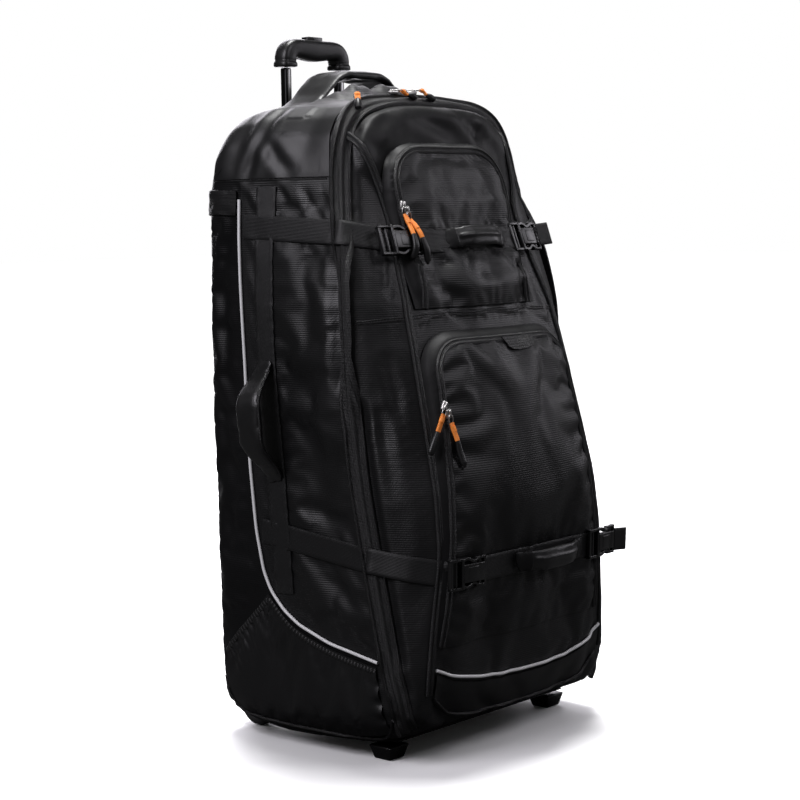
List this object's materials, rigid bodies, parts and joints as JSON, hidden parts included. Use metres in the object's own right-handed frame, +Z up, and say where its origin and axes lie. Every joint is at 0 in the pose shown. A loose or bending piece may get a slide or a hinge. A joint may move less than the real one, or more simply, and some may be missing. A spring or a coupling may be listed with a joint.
{
  "type": "wheeled goalkeeper bag",
  "caption": "Tall soft sports bag that stands on end, with a zipped raised front, pockets, buckled straps, padded handles, a telescopic handle, rear wheels and front feet.",
  "frame": {"origin": "on the floor under the middle of the whole bag's box", "axes": "+Z up, -Y towards the front with the pockets, -X towards the side with the carry handle"},
  "size_m": [0.5601, 0.488, 1.102],
  "materials": {
    "ripstop": "woven black nylon with fine raised lines",
    "coated": "smooth coated black cloth, softly shiny",
    "webbing": "ribbed black webbing",
    "zip": "black zip tape and covered piping",
    "piping": "pale grey reflective piping",
    "pad": "padded coated cloth with bound edges",
    "plastic": "moulded black plastic, half gloss",
    "leg": "dark anodised tube",
    "cord": "orange cord loop with black ends on a metal slider",
    "tyre": "matt black rubber"
  },
  "bodies": {
    "bag": {"main_shell": "ripstop", "front_lid": "ripstop", "main_zip": "zip", "yoke_left": "coated", "yoke_right": "coated", "corner_left": "coated", "corner_right": "coated", "side_piping_left": "piping", "side_piping_right": "piping", "side_webbing_left": "webbing", "side_webbing_right": "webbing", "side_handle": "pad", "shoulder_loop_left": "webbing", "shoulder_loop_right": "webbing", "upper_strap_left": "webbing", "upper_strap_right": "webbing", "upper_strap_front": "webbing", "upper_strap_tail": "webbing", "lower_strap_left": "webbing", "lower_strap_right": "webbing", "lower_strap_front": "webbing", "lower_strap_tail": "webbing", "buckle_upper_left": "plastic", "buckle_upper_right": "plastic", "buckle_lower_left": "plastic", "buckle_lower_right": "plastic", "upper_grip_pad": "pad", "lower_grip_pad": "pad", "front_piping_left": "zip", "front_piping_right": "zip", "upper_pocket": "ripstop", "upper_pocket_zip": "zip", "lower_pocket": "ripstop", "lower_pocket_zip": "zip", "lower_pocket_tab": "coated", "kick_panel": "coated", "kick_piping": "piping", "top_pull_left": "cord", "top_pull_middle": "cord", "top_pull_right": "cord", "upper_pull_left": "cord", "upper_pull_right": "cord", "lower_pull_left": "cord", "lower_pull_right": "cord", "top_handle": "pad", "trolley_sleeve_left": "leg", "trolley_sleeve_right": "leg", "base_tray": "plastic", "foot_left": "plastic", "foot_right": "plastic", "wheel_housing_left": "plastic", "wheel_housing_right": "plastic"},
    "trolley_handle": {"trolley_grip": "plastic", "trolley_leg_left": "leg", "trolley_leg_right": "leg"},
    "trolley_button": {"trolley_button": "plastic"},
    "wheel_left": {"wheel_left": "tyre"},
    "wheel_right": {"wheel_right": "tyre"}
  },
  "joints": [
    {"name": "handle_slide", "type": "slide", "parent": "bag", "child": "trolley_handle", "axis": [0, 0, 1], "range_m": [0, 0.45]},
    {"name": "button_press", "type": "slide", "parent": "trolley_handle", "child": "trolley_button", "axis": [0, 0, -1], "range_m": [0, 0.0025], "stiffness_N_per_m": 600},
    {"name": "wheel_left_spin", "type": "hinge", "parent": "bag", "child": "wheel_left", "pos_m": [-0.158, 0.2, 0.0375], "axis": [1, 0, 0], "continuous": true},
    {"name": "wheel_right_spin", "type": "hinge", "parent": "bag", "child": "wheel_right", "pos_m": [0.198, 0.2, 0.0375], "axis": [1, 0, 0], "continuous": true}
  ]
}
